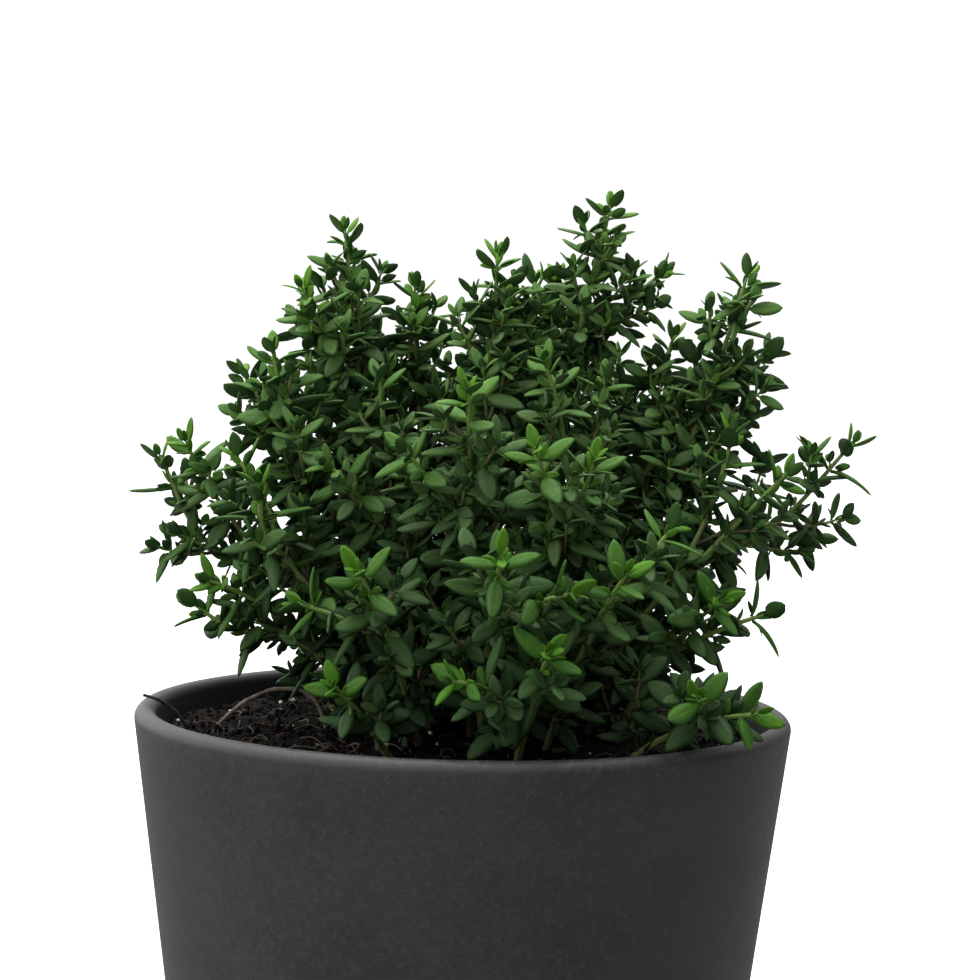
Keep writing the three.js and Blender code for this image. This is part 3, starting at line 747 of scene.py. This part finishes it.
# Name, how it grows, size of its leaves, foot, tip of its main stem, how far that sags outwards or the points
# that it passes, tip of its side shoot, and how far up that forks off. Places are in millimetres.
SPRIGS = [
    ("top_right", CLOSE, 0.92, (9, 3), (29.5, 10, 234), -5, (42, 13, 220), 0.62),
    ("top_left", CLOSE, 0.96, (-5, 3), (-28, 8, 227), 6, (-36, -8, 214), 0.5),
    ("top_middle", CLOSE, 0.94, (3, -3), (5, -5, 222), 0, (15, 4, 218), 0.6),
    ("top_inner", CLOSE, 0.92, (-2, 9), (-13, 15, 216), 3, (-22, 24, 205), 0.5),
    ("top_back", CLOSE, 0.90, (7, 9), (19, 20, 219), 3, (8, 30, 208), 0.5),
    ("left_upper", CLOSE, 0.96, (-10, -3), (-41.5, -12, 201), 6, (-49, 0, 196), 0.55),
    ("left_far", OPEN, 1, (-20, 2), (-67, 5, 177.5), [
        (-26, 3, 137), (-36, 5, 149.5), (-48.5, 5, 154.5), (-58.5, 5, 161),
    ], (-60, -6, 181), 0.5),
    ("left_front", LOOSE, 1.04, (-13, -11), (-42, -30, 174), [
        (-24, -17, 140), (-36, -24, 157), (-41, -28, 164.5),
    ], (-48, -20, 179.5), 0.5),
    ("left_low", OPEN, 1.06, (-21, -7), (-57, -14, 147.5), [
        (-27, -9, 130), (-34, -11, 139), (-49, -13, 142.5),
    ], (-53, -21, 153), 0.4),
    ("right_top", CLOSE, 0.98, (17, -1), (58.5, 0, 219.5), 5, (65, 10, 203), 0.55),
    ("right_inner", CLOSE, 0.94, (15, 6), (44, 15, 206), 4, (50, 3, 196), 0.5),
    ("right_far", OPEN, 1.02, (29, 2), (82, 0, 184), [
        (37, 2, 138), (47, 2, 153.5), (58, 1, 161), (69, 0.5, 168.5),
    ], (76, 6, 162.5), 0.6),
    ("right_middle", LOOSE, 1, (23, -6), (66.5, -15, 178), [
        (34, -9, 141), (50, -13, 160),
    ], (55, -12, 186), 0.5),
    ("right_low", OPEN, 1.08, (29, -12), (63, -20, 149), [
        (38, -14, 134), (50, -18, 143.5),
    ], (52, -31, 152.5), 0.5),
    ("front_upper", BUSHY, 1, (2, -12), (0, -44, 194), -4, (-13, -40, 182), 0.5),
    ("front_upper_right", BUSHY, 1, (11, -14), (25, -44, 181), -4, (13, -50, 183), 0.5),
    ("inner_right", BUSHY, 0.9, (10, -6), (28, -15, 197), 2, (15, -22, 200), 0.5),
    ("inner_left", BUSHY, 0.9, (-5, -7), (-19, -15, 196), 2, (-29, -26, 178), 0.45),
    ("front_left", FRONT, 1.04, (-7, -19), (-20.5, -55, 159), -8, (-33, -42, 151), 0.5),
    ("front_middle", FRONT, 1.06, (3, -22), (7, -68, 163.5), -10, (21, -61, 156), 0.55),
    ("front_low", FRONT, 1.04, (10, -30), (16.5, -66, 145.5), -5, (-2, -62, 139), 0.45),
    ("front_right", FRONT, 1.04, (15, -21), (31, -60, 160), -8, (41, -42, 168), 0.5),
    ("front_drooping", FRONT, 1.06, (25, -26), (57, -55, 133), -8, (45, -60, 137), 0.6),
    ("front_left_low", SPARSE, 1.0, (-10, -27), (-25, -50, 136), -3, None, 0),
    ("back_upper", BUSHY, 0.92, (2, 15), (0, 42, 208), -2, (-12, 50, 196), 0.5),
    ("back_upper_left", BUSHY, 0.9, (-9, 11), (-34, 34, 202), 4, (-46, 30, 190), 0.5),
    ("back_upper_right", BUSHY, 0.9, (12, 14), (34, 42, 202), 4, (48, 34, 194), 0.5),
    ("back_left", SPARSE, 0.96, (-15, 18), (-40, 44, 164), -4, (-48, 32, 156), 0.55),
    ("back_right", SPARSE, 0.96, (23, 15), (56, 40, 170), -4, (62, 30, 160), 0.55),
    ("back_middle", BUSHY, 1, (-1, 23), (-8, 66, 174), -8, (8, 66, 182), 0.5),
    ("back_middle_left", LOOSE, 1.05, (-10, 25), (-30, 62, 158), -7, (-41, 55, 150), 0.5),
    ("back_middle_right", BUSHY, 1.05, (14, 24), (34, 63, 162), -7, (46, 56, 152), 0.5),
    ("back_low", LOOSE, 1.05, (4, 31), (4, 70, 146), -5, (20, 70, 142), 0.5),
    ("back_low_left", THIN, 1, (-24, 14), (-42, 34, 138), -4, None, 0),
    ("back_low_right", THIN, 1, (30, 10), (50, 32, 139), -4, None, 0),
]

stem_finish, paint, place = new_finish("thyme_stem")
age = paint.add("ShaderNodeAttribute", {"attribute_name": "age"}, {}, "Fac")
streak = paint.cloudy(place, 520, 4, 0.65)
ripe = age + (streak - 0.5) * 0.4
GREEN_TO_BROWN = [
    (0.0, (0.15, 0.26, 0.045, 1)),
    (0.40, (0.19, 0.23, 0.065, 1)),
    (0.70, (0.15, 0.135, 0.062, 1)),
    (1.0, (0.042, 0.030, 0.020, 1)),
]
rind = paint.add("ShaderNodeValToRGB", {"stops": GREEN_TO_BROWN}, {"Fac": ripe}, "Color")
surface(paint, rind, streak, 0.5, 0.75, streak, 0.5, 0.3 * mm)


def curve_points(start, control, end, steps):
    points = []
    for step in range(steps + 1):
        t = step / steps
        points.append(start * (1 - t) ** 2 + control * (2 * t * (1 - t)) + end * t**2)
    return points


def place_on(path, down):
    """The point and the direction of a line, at a distance from its end."""
    for near, far in zip(reversed(path[:-1]), reversed(path[1:])):
        stretch = (far - near).length
        if down <= stretch:
            return far.lerp(near, down / stretch), (far - near).normalized()
        down -= stretch
    return path[0], (path[1] - path[0]).normalized()


def path_length(path):
    return sum((b - a).length for a, b in zip(path, path[1:]))


CELL = 2.2 * mm  # of the grid that keeps leaves from growing into one another
LEAST_APART = 1.2 * mm
NEIGHBOURS = [(i, j, k) for i in (-1, 0, 1) for j in (-1, 0, 1) for k in (-1, 0, 1)]
SPARE = 1 * mm  # between a leaf and the pot or the soil
HANGING = 12 * mm  # how far leaves hang over the rim at most
taken = {}


def leaf_fits(base, tip, must):
    """Keeps a leaf out of the soil, the pot's wall and other leaves, and remembers its place."""
    middle = base.lerp(tip, 0.5)
    for point in (middle, tip):
        reach = math.hypot(point.x, point.y)
        if point.z < POT_HEIGHT + SPARE:
            inner = outer_radius(point.z) - WALL
            if inner - SPARE < reach < inner + WALL + SPARE:
                return False
            if reach <= inner and point.z < soil_height(point.x, point.y) + SPARE:
                return False
            if reach > inner and point.z < POT_HEIGHT - HANGING:
                return False
    x, y, z = (math.floor(c / CELL) for c in middle)
    if not must:
        for i, j, k in NEIGHBOURS:
            for other in taken.get((x + i, y + j, z + k), ()):
                if (other - middle).length < LEAST_APART:
                    return False
    taken.setdefault((x, y, z), []).append(middle)
    return True


PALER_FROM = 150 * mm  # above this height the leaves are painted paler: painted light, besides the paler colour of sun leaves
PALEST_AFTER = 60 * mm  # above that
LOW_LEAVES = 158 * mm  # below this height the leaves are painted dark as shade, besides being old, except near the tips
DARKEST_AFTER = 34 * mm  # below that
LEAF_AGEING = 40 * mm  # down a shoot, a leaf is old after this much
STEM_AGEING = 125 * mm  # and a stem is brown after this much
SHORT_AGEING = 250 * mm  # and the short shoots on it look old after this much
STAYS_FRESH = 0.16  # leaves this young don't darken low down
HEART = Vector((4 * mm, 0, 150 * mm))  # the middle of the bush
SPREAD = Vector((72 * mm, 66 * mm, 78 * mm))  # and its half widths
OUTSIDE = 0.86  # of its half width: further out, leaves get full light
SHADE = 0.42  # of its half width: after so much more inwards they get little


def depth_inside(point):
    """From 0 near the bush's outside to 1 at its heart, where leaves get painted shade besides their age."""
    away = Vector([d / s for d, s in zip(point - HEART, SPREAD)]).length
    return max(0.0, min(1.0, (OUTSIDE - away) / SHADE))


def add_leaf(skeleton, chance, point, along, out, girth, length, angle, age, must=False):
    """One leaf, which leaves the stem on the side that out points to."""
    tilt = math.radians(angle + chance.uniform(-7, 7))
    ahead = (along * math.cos(tilt) + out * math.sin(tilt)).normalized()
    up = (along * math.sin(tilt) - out * math.cos(tilt)).normalized()
    roll = 0.4 if must else 0.8
    up = Matrix.Rotation(chance.uniform(-roll, roll), 3, ahead) @ up
    across = ahead.cross(up)
    length = length * mm * chance.uniform(0.88, 1.1)
    base = point + out * girth * 0.6
    if not leaf_fits(base, base + ahead * length, must):
        return
    turn = Matrix((across, ahead, up)).transposed().to_euler()
    wide = length * chance.uniform(0.88, 1.12) * (1.48 - length / (21 * mm))
    # Painted shade: leaves deep in the bush, and low ones away from the tips, are pushed towards the old,
    # dark colour.
    age = max(age, 0.35 * depth_inside(base))
    if age > STAYS_FRESH:
        age = max(age, min(1.0, (LOW_LEAVES - base.z) / DARKEST_AFTER))
    # Painted light: higher leaves are painted paler, besides the paler colour of sun leaves and their random
    # tone.
    painted_light_above = max(0.0, (base.z - PALER_FROM) / PALEST_AFTER)
    tone = min(1.0, 0.36 * chance.random() + 0.8 * painted_light_above)
    kind = chance.randrange(len(LEAF_KINDS))
    skeleton.leaf(base, tuple(turn), (wide, length, length), kind, tone, age)


def side_of(along, flat, angle):
    """A direction square to a stem, at an angle round it from the flat one."""
    side = (flat - along * flat.dot(along)).normalized()
    return Matrix.Rotation(angle, 3, along) @ side


def add_tuft(skeleton, chance, point, along, out, length, size, age):
    """A short shoot in a leaf's axil, with a few small leaves."""
    heading = (along * 0.8 + out * 0.75).normalized()
    if length > 1.2 * mm:
        bent = (heading + along * 0.25).normalized()
        stalk = [point, point + heading * length * 0.6, point + bent * length]
        skeleton.stem(stalk, TUFT_GIRTHS, [age * 0.6] * 3)
    top = point + heading * length
    turn = chance.uniform(0, math.pi)
    pairs = [(0.0, 4.4, 26), (0.45, 5.6, 52)] if length > 1.5 * mm else [(0.0, 4.0, 34)]
    if length > 3.5 * mm:
        pairs.append((0.85, 6.2, 66))
    for pair, (down, leaf, angle) in enumerate(pairs):
        spot = top - heading * length * down
        for half in (0, 1):
            side = side_of(heading, out, turn + pair * math.pi / 2 + half * math.pi)
            add_leaf(skeleton, chance, spot, heading, side, 0.3 * mm, leaf * size, angle, age * 0.4)


LOWER_ANGLE = 86  # of the leaves further down than LEAF_PAIRS, in degrees
LOWER_SHRINK = 0.2  # each such pair is this much shorter than the one above, in millimetres
SHORTEST = 5.8  # millimetres
FALLEN = 0.12  # share of the lower leaves


def add_shoot(skeleton, chance, path, girths, flat, turn, pairs, size, habit, bare, old, must):
    """A stem with its crossed leaf pairs from the tip down, and tufts in their axils."""
    thickest, thinnest = girths
    length = path_length(path)
    last = len(path) - 1
    shares = [1 - i / last for i in range(last + 1)]
    ages = [min(1.0, max(length * share / STEM_AGEING, 1.2 * share * share) + old) for share in shares]
    thick = [thinnest + (thickest - thinnest) * share for share in shares]
    thick[-1] *= 0.4
    skeleton.stem(path, thick, ages)
    top, heading = place_on(path, 0.3 * mm)
    for half in (0, 1):
        out = side_of(heading, flat, turn + (half + 0.5) * math.pi)
        add_leaf(skeleton, chance, top, heading, out, thinnest * 0.4, 3.2 * size, 14, old * 0.5, True)
    places = [(down * size * mm, leaf * size, angle) for down, leaf, angle in pairs]
    down, leaf, _ = places[-1]
    while True:
        down += habit.spacing * chance.uniform(0.85, 1.15)
        if down > length - bare:
            break
        leaf = max(SHORTEST, leaf - LOWER_SHRINK)
        places.append((down, leaf, LOWER_ANGLE))
    small = (0.5 + size * 0.5) * (0.6 + 0.4 * habit.tufts)
    for pair, (down, leaf, angle) in enumerate(places):
        if down > length - 1 * mm:
            break
        point, along = place_on(path, down)
        age = min(1.0, down / LEAF_AGEING + old)
        girth = thinnest + (thickest - thinnest) * down / length
        upper = pair < len(pairs)
        for half in (0, 1):
            round_stem = turn + pair * math.pi / 2 + half * math.pi + chance.uniform(-0.15, 0.15)
            out = side_of(along, flat, round_stem)
            if not upper and chance.random() < FALLEN:
                continue
            add_leaf(skeleton, chance, point, along, out, girth, leaf, angle, age, must and upper)
            if pair >= 1:
                tuft = min(5.5, 0.8 + down / mm * 0.14) * chance.uniform(0.5, 1.15) * habit.tufts * mm
                add_tuft(skeleton, chance, point, along, out, tuft, small, age)


def add_fillers(skeleton, chance, path, flat, turn, size, habit, bare):
    """Short leafy shoots along a stem, from its first one down to its bare part."""
    lowest = path_length(path) - bare
    down = habit.first_shoot
    number = 0
    while down < lowest:
        point, along = place_on(path, down)
        out = side_of(along, flat, turn + number * GOLDEN_TURN)
        length = min(chance.uniform(9, 20) * size * mm, 0.55 * down + 1.5 * mm)
        rise = Vector((0, 0, 1))
        heading = (along * 0.6 + out * 0.8 + rise * 0.1).normalized()
        end = point + (heading + rise * 0.25 + along * 0.2).normalized() * length
        if end.z > SOIL_LEVEL + 6 * mm:
            shoot = curve_points(point, point + heading * length * 0.5, end, 5)
            old = min(0.7, habit.ripe + down / SHORT_AGEING)
            add_shoot(
                skeleton, chance, shoot, SHORT_GIRTHS, out, chance.uniform(0, 3), SHORT_PAIRS, size * 0.95,
                BUSHY, SHORT_BARE, old, False,
            )
        number += 1
        down += habit.every_shoot * chance.uniform(0.8, 1.2)


for index, (name, habit, size, foot, tip, bend, side_tip, fork) in enumerate(SPRIGS):
    chance = random.Random("sprig " + name)
    skeleton = Skeleton()
    start = Vector((foot[0] * mm, foot[1] * mm, SOIL_LEVEL - FOOT_DEPTH))
    end = Vector(tip) * mm
    chord = end - start
    flat = Vector((-chord.y, chord.x, 0)).normalized()
    if isinstance(bend, list):
        main = rounded_path([start] + [Vector(point) * mm for point in bend] + [end], 8)
    else:
        control = start + chord * STEM_BEND + flat.cross(chord).normalized() * (bend * mm)
        main = curve_points(start, control, end, 24)
    turn = index * GOLDEN_TURN
    girths = (ROOT_GIRTH, TIP_GIRTH)
    add_shoot(skeleton, chance, main, girths, flat, turn, LEAF_PAIRS, size, habit, STEM_BARE, 0.0, True)
    add_fillers(skeleton, chance, main, flat, turn + 1, size, habit, STEM_BARE - 2 * mm)
    if side_tip:
        fork_point, along = place_on(main, path_length(main) * (1 - fork))
        side_end = Vector(side_tip) * mm
        reach = side_end - fork_point
        flat = along.cross(reach).normalized()
        branch = curve_points(fork_point, fork_point + along * (SHOOT_BEND * reach.length), side_end, 14)
        turn = (index + 0.5) * GOLDEN_TURN
        girths = (FORK_GIRTH, TIP_GIRTH)
        pairs = LEAF_PAIRS[:4]
        add_shoot(skeleton, chance, branch, girths, flat, turn, pairs, size, habit, SHOOT_BARE, 0.0, True)
        add_fillers(skeleton, chance, branch, flat, turn + 1, size, habit, SHOOT_BARE)
    sprig = grow_plant("thyme_" + name, skeleton, 6, stem_finish, leaf_shapes, leaf_finish)
    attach(sprig, "root")
    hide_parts("sprig_" + name)

# ---- Floor, light and camera ----
# A plain pale floor in bright, soft light from all round, strongest from above and from the left. A square
# lamp hangs above and behind the pot, and the camera looks slightly down on it, turned a little.

FLOOR_REACH = 6.0
FLOOR_SIDES = 64

floor_mesh = bpy.data.meshes.new("floor")
ring = arc((0, 0), FLOOR_REACH, 0, 360, FLOOR_SIDES)[:-1]
floor_mesh.from_pydata([(x, y, 0) for x, y in ring], [], [tuple(range(FLOOR_SIDES))])
floor = in_scene("floor", floor_mesh)
floor_finish, paint, _ = new_finish("pale_floor")
seen = paint.add("ShaderNodeLightPath", {}, {}, "Is Camera Ray")
white = paint.add("ShaderNodeBsdfDiffuse", {}, {"Color": (0.93, 0.93, 0.93, 1)})
muted = paint.add("ShaderNodeBsdfDiffuse", {}, {"Color": (0.22, 0.22, 0.22, 1)})
both = paint.add("ShaderNodeMixShader", {}, {"Fac": seen, 1: muted, 2: white})
paint.add("ShaderNodeOutputMaterial", {}, {"Surface": both})
floor_mesh.materials.append(floor_finish)

world = bpy.data.worlds.new("bright_room")
world.use_nodes = True
world.node_tree.nodes.clear()
paint = Tree(world.node_tree)
facing = paint.add("ShaderNodeTexCoord", {}, {}, "Generated")
far = paint.part(facing, "Y")
above = far.beside("Z")
right = far.beside("X")
seen = paint.add("ShaderNodeLightPath", {}, {}, "Is Camera Ray")
glow = paint.ranged(far, -0.6, 0.55, 0.76, 1.2) * paint.ranged(right, -0.9, 0.9, 1.75, 0.15)
glow = glow + paint.ranged(above, 0.3, 0.95, 0.0, 1.15) * paint.ranged(right, -0.9, 0.9, 1.1, 0.9)
glow = seen * 1.1 + (1 - seen) * glow
shine = paint.add("ShaderNodeBackground", {}, {"Color": (1.0, 1.0, 1.0, 1), "Strength": glow})
paint.add("ShaderNodeOutputWorld", {}, {"Surface": shine})
bpy.context.scene.world = world

LAMP_PLACE = Vector((0, 0.35, 1.6))
LAMP_AIM = Vector((0, 0, 0.15))
lamp = bpy.data.lights.new("top_back", "AREA")
lamp.size = 1.0
lamp.energy = 14
softbox = in_scene("top_back", lamp)
softbox.location = LAMP_PLACE
softbox.rotation_euler = (LAMP_AIM - LAMP_PLACE).to_track_quat("-Z", "Y").to_euler()

CAMERA_PLACE = (4.6 * mm, -500 * mm, 200 * mm)
PITCH_DOWN = 3.24  # degrees, as ROLL
ROLL = 1.37
lens = bpy.data.cameras.new("camera")
lens.sensor_width = 36
lens.lens = 86.0
lens.clip_start = 0.01
camera = in_scene("camera", lens)
camera.location = CAMERA_PLACE
pitch = Matrix.Rotation(math.radians(90 - PITCH_DOWN), 3, "X")
camera.rotation_euler = (pitch @ Matrix.Rotation(math.radians(ROLL), 3, "Z")).to_euler()
bpy.context.scene.camera = camera
bpy.context.scene.view_settings.view_transform = "Standard"

# ---- Update ----
# The scene is brought up to date. Only tips of leaves reach past the CAD model's box.

bpy.context.view_layer.update()
